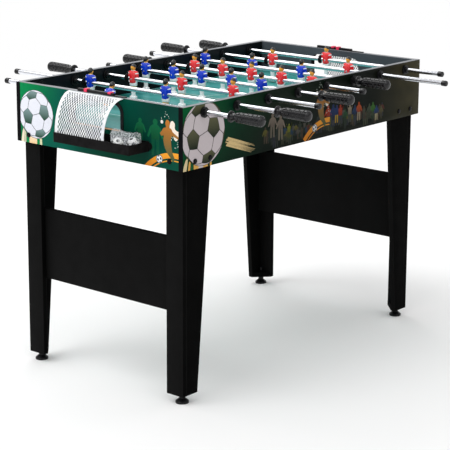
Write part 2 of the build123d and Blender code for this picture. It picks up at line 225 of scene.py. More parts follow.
def satin_black(name, color, scuff, roughness, specular):
    """Painted or foiled black board with a very faint grain and rubbed patches."""
    color, scuff = rgb(*color), rgb(*scuff)
    look = Look(name, color, roughness, Specular_IOR_Level=specular)
    look.vary_color(color, scuff, look.noise(9.0, 4.0, (1, 1, 0.4)), 0.45, 0.75, 0.6)
    look.vary_roughness(roughness - 0.06, roughness + 0.08, 30.0)
    look.bump(look.noise(700.0, 3.0, (1, 1, 0.15)), 0.1, 0.0003)


def edge_band():
    look = Look("edge_band", rgb(140, 140, 142), 0.5, Specular_IOR_Level=0.2)
    look.vary_color(rgb(140, 142, 146), rgb(122, 124, 128), look.noise(70.0, 4.0), 0.4)
    look.bump(look.noise(600.0, 2.0), 0.1, 0.0002)


def raw_board():
    """Sawn fibreboard: tan, with short darker fibres."""
    look = Look("raw_board", rgb(196, 150, 108), 0.85)
    look.vary_color(rgb(208, 164, 122), rgb(150, 104, 70), look.noise(260.0, 5.0, (1, 1, 3)))
    look.bump(look.noise(900.0, 4.0), 0.35, 0.0004)


def plastic(name, color, roughness, grain, depth, specular, tint=None):
    """Moulded plastic with a fine spark-eroded grain and slight unevenness of colour."""
    color = rgb(*color)
    look = Look(name, color, roughness, Specular_IOR_Level=specular)
    tint = rgb(*tint) if tint else tuple(min(1.0, c * 1.35 + 0.004) for c in color)
    look.vary_color(color, tint, look.noise(60.0))
    look.vary_roughness(roughness - 0.05, roughness + 0.07, 90.0, 2.0)
    look.bump(look.noise(grain, 2.0), depth, 0.0002)


def chrome():
    """Plated steel tube: bright, with faint drawing lines along Y."""
    look = Look("chrome_tube", rgb(226, 228, 234), 0.12, Metallic=1.0)
    lines = look.noise(500.0, 3.0, (1, 0.02, 1))
    look.set("Roughness", look.spread(lines, 0.3, 0.7, 0.08, 0.2))
    look.bump(lines, 0.05, 0.0001)


def steel(name, color, roughness):
    look = Look(name, rgb(*color), roughness, Metallic=1.0)
    look.vary_roughness(roughness - 0.08, roughness + 0.1, 200.0)


def pitch():
    """Printed playfield: teal grass in mown bands, with lighter blue streaks along Y that are painted
    reflections.
    """
    look = Look("playfield_print", rgb(40, 140, 138), 0.35, Specular_IOR_Level=0.25)
    band_pair = 130 * MM
    wave = look.node("Math", {0: look.axis("X"), 1: 2 * pi / band_pair}, operation="MULTIPLY")
    wave = look.node("Math", {0: wave.outputs[0]}, operation="SINE")
    bands = look.spread(wave.outputs[0], -0.4, 0.4)
    green = look.mix(bands, rgb(14, 116, 104), rgb(42, 146, 138))
    # Lighter blue streaks along Y: painted reflections on the glossy field.
    reflection_streak = look.spread(look.noise(7.0, 4.0, (3.0, 0.7, 1)), 0.35, 0.72)
    mixed = look.mix(reflection_streak, green, rgb(84, 164, 166))
    look.vary_color(mixed, rgb(12, 104, 100), look.noise(240.0, 4.0, (1, 0.35, 1)), most=0.35)
    look.bump(look.noise(500.0, 2.0), 0.06, 0.0002)


def line_paint():
    look = Look("line_paint", rgb(214, 226, 222), 0.4)
    look.vary_color(rgb(216, 228, 224), rgb(150, 196, 192), look.noise(80.0, 4.0), 0.45, 0.75, 0.5)


def film():
    """Clear bag film: nearly invisible where it lies flat, with painted highlights as white lines along its
    creases.
    """
    look = Look("bag_film", rgb(240, 244, 248), 0.16, Specular_IOR_Level=0.7)
    # Opaque white where the noise is near its middle: painted highlights along the creases.
    ridge = look.node("Math", {0: look.noise(110.0, 5.0), 1: 0.5}, operation="SUBTRACT")
    ridge = look.node("Math", {0: ridge.outputs[0]}, operation="ABSOLUTE")
    look.set("Alpha", look.spread(ridge.outputs[0], 0.0, 0.09, 0.5, 0.09))
    look.bump(look.noise(190.0, 4.0), 0.5, 0.0015)


side_print("near_print", 1)
side_print("far_print", -1)
end_print("left_print", 1)
end_print("right_print", -1)
for draw in (ink, edge_band, raw_board, pitch, line_paint, chrome, film):
    draw()
for values in (
        ("inner_black", (8, 14, 18), (18, 24, 30), 0.4, 0.12),
        ("inner_slate", (72, 78, 84), (88, 94, 102), 0.4, 0.15),
        ("board_end", (8, 8, 12), (14, 14, 20), 0.5, 0.05),
        # The two leg blacks are one black in two copies: the lighter is painted light for the faces along the
        # table, the darker is painted shade for the rest.
        ("leg_painted_light", (14, 14, 14), (20, 20, 20), 0.6, 0.04),
        ("leg_painted_shade", (6, 6, 6), (11, 11, 11), 0.75, 0.02)):
    satin_black(*values)
for values in (
        ("black_plastic", (12, 12, 14), 0.3, 1200.0, 0.12, 0.2),
        ("black_rubber", (10, 10, 11), 0.5, 500.0, 0.2, 0.15),
        ("tray_plastic", (13, 11, 12), 0.45, 700.0, 0.25, 0.05),
        ("white_sheet", (222, 224, 230), 0.36, 700.0, 0.05, 0.3),
        ("grip_plastic", (9, 9, 12), 0.24, 1500.0, 0.1, 0.4),
        ("red_plastic", (222, 44, 84), 0.4, 1200.0, 0.12, 0.4),
        ("blue_shirt", (6, 50, 196), 0.25, 900.0, 0.05, 0.5, (14, 70, 220)),
        ("red_shirt", (238, 34, 46), 0.25, 900.0, 0.05, 0.6, (252, 70, 70)),
        ("figure_skin", (255, 172, 60), 0.32, 900.0, 0.05, 0.4, (255, 190, 90)),
        ("figure_hair", (10, 10, 11), 0.22, 900.0, 0.05, 0.6),
        ("figure_white", (246, 248, 250), 0.4, 900.0, 0.05, 0.4),
        ("ball_white", (238, 238, 236), 0.3, 900.0, 0.04, 0.5),
        ("ball_black", (14, 14, 15), 0.3, 900.0, 0.04, 0.5)):
    plastic(*values)
steel("black_steel", (26, 26, 28), 0.35)
steel("screw_steel", (214, 214, 220), 0.25)


# ---- Mesh helpers ----
def piece(name, bm, looks, body, smooth_angle=40.0):
    """Turn a bmesh into a named object that rides on a body."""
    mesh = bpy.data.meshes.new(name)
    bm.to_mesh(mesh)
    bm.free()
    for look in looks:
        mesh.materials.append(LOOKS[look])
    mesh.polygons.foreach_set("use_smooth", [True] * len(mesh.polygons))
    mesh.set_sharp_from_angle(angle=radians(smooth_angle))
    made = bpy.data.objects.new(name, mesh)
    bpy.context.scene.collection.objects.link(made)
    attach(made, body)
    return made


def around(count, start=0.0, end=2 * pi):
    """Cosine and sine at count steps from start to end, which isn't one of them."""
    angles = [start + (end - start) * k / count for k in range(count)]
    return [(cos(a), sin(a)) for a in angles]


def loop_faces(bm, rings, material=0):
    """Skin a list of equal closed rings of points and close both ends."""
    made = [[bm.verts.new(point) for point in ring] for ring in rings]
    count = len(rings[0])
    faces = []
    for low, high in zip(made, made[1:]):
        for k in range(count):
            following = (k + 1) % count
            faces.append(bm.faces.new((low[k], low[following], high[following], high[k])))
    faces.append(bm.faces.new(list(reversed(made[0]))))
    faces.append(bm.faces.new(made[-1]))
    for face in faces:
        face.material_index = material


def turned(bm, profile, matrix, segments, material=0):
    """Revolve (distance along the axis, radius) points about the matrix's Z axis."""
    loop_faces(bm, [
        [matrix @ Vector((radius * c, radius * s, along)) for c, s in around(segments)]
        for along, radius in profile], material)


def eased_copy(node, looks, pick, width=0.8 * MM, shortest=12 * MM):
    """A CAD board with its long sharp edges eased; pick(normal, centre) gives a face's look index."""
    bm = bmesh.new()
    bm.from_mesh(nodes[node].data)
    same_place, same_plane, sharp_from = 1e-6, radians(0.6), radians(40)
    bmesh.ops.remove_doubles(bm, verts=bm.verts, dist=same_place)
    bmesh.ops.dissolve_limit(bm, angle_limit=same_plane, verts=bm.verts, edges=bm.edges)
    bm.normal_update()
    for face in bm.faces:
        face.material_index = pick(face.normal, face.calc_center_median())
    sharp = [
        e for e in bm.edges
        if len(e.link_faces) == 2 and e.calc_length() > shortest and e.is_convex
        and e.calc_face_angle() > sharp_from]
    bmesh.ops.bevel(
        bm, geom=sharp, offset=width, offset_type="OFFSET", segments=2, profile=0.6, affect="EDGES",
        clamp_overlap=True)
    made = piece(node + "_eased", bm, looks, nodes[node]["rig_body"])
    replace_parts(made, node)


def dress(node, look):
    """Give a CAD node that stays its material."""
    nodes[node].data.materials.clear()
    nodes[node].data.materials.append(LOOKS[look])


# ---- Cabinet boards ----
def panel_pick(*outward):
    """Look of each face of a cabinet board whose outer face looks along outward.
    The ends have a goal cut out of them, whose sawn sill is raw board."""
    outward = Vector(outward)
    has_goal, inside_by = outward.x != 0, 10 * MM

    def pick(normal, centre):
        if has_goal and normal.z > 0.9 and centre.z < TOP_Z - inside_by:
            return 2
        if has_goal and normal.z < -0.3 and centre.z > BOTTOM_Z + inside_by:
            return 4
        if normal.z > 0.5:
            return 1
        if normal.z < -0.5:
            return 2
        if normal.dot(outward) > 0.5:
            return 0
        return 3 if normal.dot(outward) < -0.5 else 4
    return pick


# the looks after each board's print, in panel_pick's order
SIDE_LOOKS = ("edge_band", "raw_board", "inner_black", "board_end")
END_LOOKS = ("edge_band", "raw_board", "inner_slate", "board_end")
eased_copy("long_side_near", ("near_print", *SIDE_LOOKS), panel_pick(0, -1, 0))
eased_copy("long_side_far", ("far_print", *SIDE_LOOKS), panel_pick(0, 1, 0))
eased_copy("end_panel_left", ("left_print", *END_LOOKS), panel_pick(-1, 0, 0))
eased_copy("end_panel_right", ("right_print", *END_LOOKS), panel_pick(1, 0, 0))


# ---- Printed artwork ----
# A Print is laid out in millimetres from the lower left
# corner of a face, across and up, and each shape lies a little proud.
INK_STEP = 0.04 * MM


def clipped(outline, width, height):
    """The part of an outline inside the face, cut edge by edge."""
    for axis, limit, sign in ((0, 0.0, 1), (0, width, -1), (1, 0.0, 1), (1, height, -1)):
        kept = []
        for start, end in zip(outline, outline[1:] + outline[:1]):
            start_in = (start[axis] - limit) * sign >= 0
            end_in = (end[axis] - limit) * sign >= 0
            if start_in:
                kept.append(start)
            if start_in != end_in:
                t = (limit - start[axis]) / (end[axis] - start[axis])
                kept.append((start[0] + t * (end[0] - start[0]), start[1] + t * (end[1] - start[1])))
        outline = kept
        if len(outline) < 3:
            return []
    return outline


class Print:
    def __init__(self, corner, across, out, width, height):
        self.corner, self.across, self.out = Vector(corner), Vector(across), Vector(out)
        self.width, self.height = width, height
        self.bm = bmesh.new()
        self.color = self.bm.loops.layers.float_color.new("ink")

    def shape(self, outline, low, high=None, layer=1):
        """A flat shape; its colour runs from low at its foot to high at its top."""
        outline = clipped(list(outline), self.width, self.height)
        if len(outline) < 3:
            return
        high = high or low
        foot = min(v for _, v in outline)
        rise = max(max(v for _, v in outline) - foot, 1e-6)
        lift = self.out * (layer * INK_STEP)
        verts = [
            self.bm.verts.new(self.corner + self.across * (u * MM) + Vector((0, 0, v * MM)) + lift)
            for u, v in outline]
        face = self.bm.faces.new(verts)
        face.normal_update()
        for loop, (_, v) in zip(face.loops, outline):
            t = (v - foot) / rise
            loop[self.color] = (*[a + (b - a) * t for a, b in zip(low, high)], 1.0)
        if face.normal.dot(self.out) < 0:
            face.normal_flip()

    def place(self, name, other_name):
        """One copy where it was laid out, and one turned half round on the other side."""
        bmesh.ops.triangulate(self.bm, faces=self.bm.faces, ngon_method="EAR_CLIP")
        turned_bm = self.bm.copy()
        bmesh.ops.transform(turned_bm, matrix=HALF_TURN, verts=turned_bm.verts)
        piece(name, self.bm, ("printed_ink",), "table")
        piece(other_name, turned_bm, ("printed_ink",), "table")


def circle(centre, radius, steps=64, start=0.0, end=360.0):
    angles = [radians(start + (end - start) * k / steps) for k in range(steps + (end - start < 360))]
    return [(centre[0] + radius * cos(a), centre[1] + radius * sin(a)) for a in angles]


def band(centre, inner, outer, start, end):
    """A curved stripe: part of a ring."""
    return circle(centre, outer, 40, start, end) + circle(centre, inner, 40, start, end)[::-1]


def smooth_outline(points, steps=6):
    """A closed curve through the points (Catmull-Rom)."""
    curve = []
    count = len(points)
    for k in range(count):
        p0, p1, p2, p3 = (points[(k + d) % count] for d in (-1, 0, 1, 2))
        for step in range(steps):
            t = step / steps
            curve.append(tuple(
                0.5 * (2 * b + (c - a) * t + (2 * a - 5 * b + 4 * c - d) * t * t
                       + (3 * b - a - 3 * c + d) * t ** 3)
                for a, b, c, d in zip(p0, p1, p2, p3)))
    return curve


def ball_pattern():
    """Pentagons and the seams between hexagons of a football, as points on a unit ball."""
    golden = (1 + sqrt(5)) / 2
    corners = []
    for a in (-1, 1):
        for b in (-golden, golden):
            corners += [Vector((0, a, b)), Vector((a, b, 0)), Vector((b, 0, a))]
    pentagons, seams = [], []
    for i, corner in enumerate(corners):
        near = [c for c in corners if 1.9 < (c - corner).length < 2.1]
        side = (near[0] - corner).cross(corner).normalized()
        front = corner.normalized().cross(side)
        near.sort(key=lambda c: atan2((c - corner).dot(side), (c - corner).dot(front)))
        pentagons.append([(2 * corner + c).normalized() for c in near])
        seams += [
            ((2 * corner + c).normalized(), (corner + 2 * c).normalized())
            for j, c in enumerate(corners) if j > i and c in near]
    return pentagons, seams


PENTAGONS, SEAMS = ball_pattern()


def arc_between(first, second, steps):
    return [first.lerp(second, k / steps).normalized() for k in range(steps + 1)]


def ball_print(art, centre, radius, roll, colors, layer=1):
    """A football drawn face on, between two pentagons.  colors are its rim, its white panels low and
    high, its seams, and its dark patches low and high."""
    rim_color, white_low, white_high, seam, dark_low, dark_high = colors
    view = Matrix.Rotation(radians(roll), 3, "Z") @ Matrix(((0, 1, 0), (1, 0, 0), (0, 0, 1)))

    def flat(point):
        p = view @ point
        rim = hypot(p.x, p.y)
        scale = radius / rim if p.z < 0 else radius
        return (centre[0] + p.x * scale, centre[1] + p.y * scale)

    art.shape(circle(centre, radius + 1.4, 96), rim_color, layer=layer)
    art.shape(circle(centre, radius, 96), white_low, white_high, layer + 1)
    for first, second in SEAMS:
        line = arc_between(first, second, 6)
        if sum((view @ p).z for p in line) > 0:
            points = [flat(p) for p in line]
            dx, dy = points[-1][0] - points[0][0], points[-1][1] - points[0][1]
            length = max(hypot(dx, dy), 1e-6)
            half_seam = radius * 0.011
            nx, ny = -dy / length * half_seam, dx / length * half_seam
            strip = [(x + nx, y + ny) for x, y in points] + [(x - nx, y - ny) for x, y in points[::-1]]
            art.shape(strip, seam, layer=layer + 2)
    for pentagon in PENTAGONS:
        if sum((view @ p).z for p in pentagon) > -0.6:
            outline = []
            for first, second in zip(pentagon, pentagon[1:] + pentagon[:1]):
                outline += [flat(p) for p in arc_between(first, second, 5)[:-1]]
            middle = [sum(values) / len(outline) for values in zip(*outline)]
            edged = [(u + (u - middle[0]) * 0.055, v + (v - middle[1]) * 0.055) for u, v in outline]
            inside = [p for p in edged if dist(p, centre) <= radius * 1.03]
            art.shape(inside if len(inside) == len(edged) else outline, seam, layer=layer + 3)
            art.shape(outline, dark_low, dark_high, layer + 4)


def brush_stroke(art, start, end, width, bristles, low, high, layer, seed):
    """A dry stroke: several thin bristle marks of uneven length."""
    rng = random.Random(seed)
    dx, dy = end[0] - start[0], end[1] - start[1]
    length = hypot(dx, dy)
    ux, uy = dx / length, dy / length
    for k in range(bristles):
        offset = (k + 0.5) / bristles * width - width / 2
        head = rng.uniform(-0.05, 0.06) * length
        tail = length * rng.uniform(0.72, 1.0)
        half = width / bristles * rng.uniform(0.42, 0.6)
        taper = rng.uniform(0.35, 0.7)
        marks = [(head, -half), (head + 2, -half), (tail * taper, -half * 0.9), (tail, -half * 0.15),
                 (tail, half * 0.15), (tail * taper, half * 0.9), (head + 2, half), (head, half)]
        outline = [
            (start[0] + ux * a - uy * (offset + b), start[1] + uy * a + ux * (offset + b)) for a, b in marks]
        art.shape(outline, low, high, layer + 0.1 * k)


def splash(art, centre, size, count, color, layer, seed):
    """Scattered drops round a place."""
    rng = random.Random(seed)
    for k in range(count):
        angle, distance = rng.uniform(0, 2 * pi), size * rng.uniform(0.2, 1.0)
        place = (centre[0] + distance * cos(angle), centre[1] + distance * sin(angle))
        art.shape(circle(place, rng.uniform(0.5, 1.7), 10), color, layer=layer + 0.05 * k)


def small_figure(art, u, foot, tall, shirt, legs, head, arms_up, layer):
    """A standing player or fan, as a silhouette in three tones."""
    def at(*points):
        return [(u + a * tall, foot + b * tall) for a, b in points]

    for side in (-1, 1):
        leg = at((side * 0.01, 0.46), (side * 0.05, 0), (side * 0.14, 0), (side * 0.14, 0.5))
        art.shape(leg, legs, layer=layer)
        reach = (side * 0.27, 1.02) if arms_up else (side * 0.27, 0.5)
        art.shape(at(
            (side * 0.11, 0.82), (side * 0.19, 0.76), (reach[0] + side * 0.03, reach[1]),
            (reach[0] - side * 0.03, reach[1] - 0.03), (side * 0.12, 0.68)), shirt, layer=layer)
    body = at((-0.14, 0.44), (-0.17, 0.78), (-0.08, 0.84), (0.08, 0.84), (0.17, 0.78), (0.14, 0.44))
    art.shape(body, tuple(c * 0.6 for c in shirt), shirt, layer + 0.5)
    art.shape(circle((u, foot + 0.91 * tall), 0.085 * tall, 16), head, layer=layer + 0.8)


def kick_scene(art, du, dv, shade):
    """Orange bands, a small football and a kicker with a burst behind; shade darkens the inks as painted
    shade, and 1.0 paints none.
    """
    def ink_tone(*color):
        return tuple(c * shade for c in rgb(*color))

    def moved(points):
        return [(u + du, v + dv) for u, v in points]

    orange, amber = ink_tone(224, 134, 30), ink_tone(248, 166, 50)
    for inner, outer in ((135, 149), (127, 130)):
        art.shape(band((570 + du, dv - 104), inner, outer, 84, 136), orange, amber, 8)
    art.shape(circle((524 + du, 121 + dv), 4.6, 24), ink_tone(244, 238, 230), layer=8)
    burst = smooth_outline([
        (553, 122), (558, 127), (563, 126), (568, 120), (568, 108), (575, 103), (583, 100), (586, 90),
        (580, 84), (573, 77), (566, 80), (562, 90), (556, 100), (550, 108)], 4)
    art.shape(moved(burst), ink_tone(250, 236, 220), layer=8)
    for place, size, count, seed in (((535, 132), 16, 9, 3), ((576, 66), 13, 10, 4), ((562, 84), 10, 7, 5)):
        splash(art, (place[0] + du, place[1] + dv), size, count, ink_tone(206, 220, 208), 8.3, seed)
    kicker = smooth_outline([
        (543, 128), (549, 125), (551, 117), (548, 110), (556, 106), (562, 98), (581, 87), (579, 82),
        (560, 88), (555, 80), (556, 62), (560, 44), (567, 30), (561, 20), (554, 30), (542, 42),
        (533, 58), (529, 74), (530, 86), (522, 85), (518, 91), (524, 98), (529, 105), (538, 109),
        (536, 117), (538, 125)], 5)
    art.shape(moved(kicker), ink_tone(58, 92, 60), ink_tone(196, 120, 46), 9)
    ball_print(art, (515 + du, 23 + dv), 10.0, 20, (
        ink_tone(70, 76, 70), ink_tone(226, 226, 226), ink_tone(250, 250, 250), ink_tone(90, 94, 92),
        ink_tone(24, 32, 34), ink_tone(44, 54, 58)), 10)


PRINT_HEIGHT = (TOP_Z - BOTTOM_Z) / MM - 1.5    # mm; the print ends just under the edge band


def end_artwork():
    """Ends: a football at the left, the kicker at the right, and two dim players beside it."""
    art = Print((-END_X, INNER_Y, BOTTOM_Z), (0, -1, 0), (-1, 0, 0), 2 * INNER_Y / MM, PRINT_HEIGHT)
    cream, peach = rgb(244, 232, 204), rgb(252, 212, 158)
    green = rgb(0, 134, 72)
    art.shape([(1, 0), (13, 0), (16, 46), (10, 40), (5, 24)], cream)
    art.shape([(16, 0), (20, 0), (20, 40), (17, 38)], cream)
    art.shape([(22, 0), (32, 0), (32, 30), (22, 34)], green)
    art.shape([(33, 0), (63, 0), (63, 30), (33, 34)], peach, rgb(252, 240, 220))
    art.shape([(63, 0), (73, 0), (73, 30), (63, 30)], green)
    art.shape([(74, 0), (83, 0), (82, 26), (74, 26)], rgb(222, 220, 178))
    ball_print(art, (61, 82), 66, 16.5, (
        rgb(40, 72, 60), rgb(232, 234, 244), rgb(240, 242, 252), rgb(50, 62, 60), rgb(30, 70, 50),
        rgb(132, 158, 158)))
    faint = rgb(3, 98, 60)
    for u, foot, tall in ((448, 52, 70), (501, 30, 96)):
        small_figure(art, u, foot, tall, faint, rgb(0, 78, 54), faint, False, 2)
    kick_scene(art, 0, 0, 1.0)
    art.place("print_left_end", "print_right_end")


def side_artwork():
    """Long sides: a large cut-off football, a dry stroke, a dim crowd and the kicker; the ball's whites and
    the kicker carry painted shade.
    """
    art = Print((-END_X, -SIDE_Y, BOTTOM_Z), (1, 0, 0), (0, -1, 0), 2 * END_X / MM, PRINT_HEIGHT)
    sand, gold = rgb(200, 182, 140), rgb(204, 156, 78)
    art.shape([(0, 0), (13, 0), (16, 12), (19, 36), (10, 28), (3, 14)], sand)
    art.shape([(19, 0), (27, 0), (30, 26), (24, 28)], gold)
    art.shape([(29, 0), (40, 0), (40, 24), (31, 26)], rgb(0, 74, 38))
    art.shape([(41, 0), (60, 0), (60, 14), (41, 16)], gold)
    art.shape([(60, 0), (78, 0), (78, 12), (60, 12)], rgb(190, 182, 182))
    art.shape([(78, 0), (96, 0), (96, 12), (78, 12)], gold)
    art.shape([(104, 0), (111, 0), (111, 14), (104, 14)], gold)
    # This ball's white panels and dark patches are darker than the end ball's: painted shade of the shaded
    # long side, which the far side's turned copy carries too.
    ball_print(art, (79, 88), 83, 16.5, (
        rgb(12, 24, 16), rgb(184, 174, 177), rgb(186, 178, 180), rgb(34, 34, 30), rgb(12, 26, 14),
        rgb(84, 84, 60)))
    brush_stroke(art, (172, 53), (290, 14), 24, 9, rgb(200, 176, 126), rgb(196, 170, 120), 2, 11)
    rng = random.Random(5)
    shades = (rgb(30, 38, 30), rgb(22, 30, 26), rgb(40, 44, 30), rgb(26, 30, 38), rgb(48, 40, 30))
    for k in range(58):
        tone = rng.choice(shades)
        accent = rng.choice((tone, tone, rgb(70, 66, 22), rgb(60, 26, 18), rgb(20, 42, 60), rgb(60, 58, 52)))
        u = 330 + k * 9.6 + rng.uniform(-3, 3)
        small_figure(
            art, u, rng.uniform(4, 26), rng.uniform(30, 46), accent, tone, tone, rng.random() < 0.4,
            1 + 0.05 * k)
    # the nearer fans: place, foot, height, shirt, legs and whether their arms are up
    grey = (112, 101, 90)
    fans = (
        (362, 34, 66, grey, (78, 72, 62), False), (397, 22, 68, grey, (84, 78, 66), False),
        (434, 18, 44, (104, 108, 26), (40, 48, 20), True), (612, 30, 58, (150, 46, 22), (26, 34, 40), False),
        (636, 24, 64, (18, 40, 84), (16, 26, 44), False), (652, 32, 52, (20, 44, 90), (120, 96, 22), False),
        (670, 26, 56, (146, 44, 24), (34, 36, 40), True), (694, 20, 46, (24, 62, 34), (22, 34, 22), False),
        (716, 24, 54, (126, 116, 98), (44, 46, 44), True), (740, 22, 50, (20, 46, 80), (30, 34, 40), False),
        (760, 24, 54, (160, 66, 24), (110, 100, 84), False), (786, 18, 44, (60, 62, 48), (34, 38, 30), True),
        (812, 20, 46, (56, 66, 50), (34, 38, 28), False), (830, 18, 50, (46, 96, 32), (26, 44, 24), False),
        (848, 12, 44, (24, 54, 96), (126, 118, 92), False), (872, 12, 40, (78, 72, 44), (44, 42, 28), False))
    for k, (u, foot, tall, shirt, legs, arms_up) in enumerate(fans):
        shirt = rgb(*shirt)
        dim_shirt, dim_head = tuple(c * 0.7 for c in shirt), tuple(c * 0.6 for c in shirt)
        small_figure(art, u, foot, tall, dim_shirt, rgb(*legs), dim_head, arms_up, 5 + 0.1 * k)
    # At 0.52 the kicker's inks are darkened: painted shade of the shaded long side.
    kick_scene(art, 35, 9, 0.52)
    art.place("print_near_side", "print_far_side")


end_artwork()
side_artwork()


# ---- Playfield ----
def playfield():
    """The printed board stays as it is in CAD; the lines are thin painted strips."""
    dress("playfield", "playfield_print")
    bm = bmesh.new()
    lift, half = 0.12 * MM, 1.5 * MM
    length, width = INNER_X - 1 * MM, INNER_Y - 1 * MM
    box_depth, box_half = 141 * MM, 150 * MM
    centre_r, spot_r, corner_r, arc_r = 87 * MM, 4 * MM, 30 * MM, 46 * MM
    spot_depth = 103 * MM

    def ribbon(points, closed=False):
        count = len(points)
        sides = []
        for k, point in enumerate(points):
            before = points[(k - 1) % count] if closed or k else point
            after = points[(k + 1) % count] if closed or k < count - 1 else point
            along = (after - before).normalized()
            across = Vector((-along.y, along.x, 0)) * half
            sides.append((bm.verts.new(point + across), bm.verts.new(point - across)))
        pairs = list(zip(sides, sides[1:] + sides[:1])) if closed else list(zip(sides, sides[1:]))
        for (a, b), (c, d) in pairs:
            bm.faces.new((b, d, c, a))

    def flat(x, y):
        return Vector((x, y, FIELD_Z + lift))

    def ring(x, y, radius, start, end):
        steps = 48
        closed = end - start >= 360
        angles = [radians(start + (end - start) * k / steps) for k in range(steps + (not closed))]
        ribbon([flat(x + radius * cos(a), y + radius * sin(a)) for a in angles], closed)

    def run(*points):
        """Straight lines from point to point."""
        for first, second in zip(points, points[1:]):
            ribbon([flat(*first), flat(*second)])

    run((0, -width), (0, width))
    ring(0, 0, centre_r, 0, 360)
    for side in (-1, 1):
        edge = side * (length - box_depth)
        run((side * length, -box_half), (edge, -box_half), (edge, box_half), (side * length, box_half))
        turn = 90 if side > 0 else -90
        ring(edge, 0, arc_r, turn, turn + 180)
        for y_side in (-1, 1):
            start = degrees(atan2(-y_side, -side)) - 45
            ring(side * length, y_side * width, corner_r, start, start + 90)
    for x in (0, spot_depth - length, length - spot_depth):
        centre = bm.verts.new(flat(x, 0))
        rim = [bm.verts.new(flat(x + spot_r * c, spot_r * s)) for c, s in around(20)]
        for first, second in zip(rim, rim[1:] + rim[:1]):
            bm.faces.new((centre, first, second))
    piece("field_lines", bm, ("line_paint",), "table")


playfield()
dress("field_battens", "raw_board")


# ---- Legs and fittings ----
def leg_pick(normal, centre):
    """The faces that look along the table get the lighter black, painted light as if lit from the end; the
    rest get the darker black, painted shade.
    """
    return 0 if abs(normal.x) > 0.7 else 1


for node in [n for n in nodes if n.startswith("leg_") and n != "leg_bolts"] + ["stretcher_panels"]:
    eased_copy(node, ("leg_painted_light", "leg_painted_shade"), leg_pick, 1.0 * MM, 30 * MM)

CARRIED = {
    "goal_arches": "black_plastic", "ball_trays": "tray_plastic", "score_rails": "black_plastic",
    "rod_bushings": "black_plastic", "near_bumpers": "black_rubber", "leg_bolts": "black_steel"}
for node, look in CARRIED.items():
    dress(node, look)
for node in nodes:
    if node.startswith("levelling_foot"):
        dress(node, "black_plastic")
    elif node.startswith("score_slider"):
        dress(node, "red_plastic")
    elif node.endswith("_bumper"):
        dress(node, "black_rubber")
    elif node[:4] == "rod_" and node[4:].isdigit():
        dress(node, "chrome_tube")


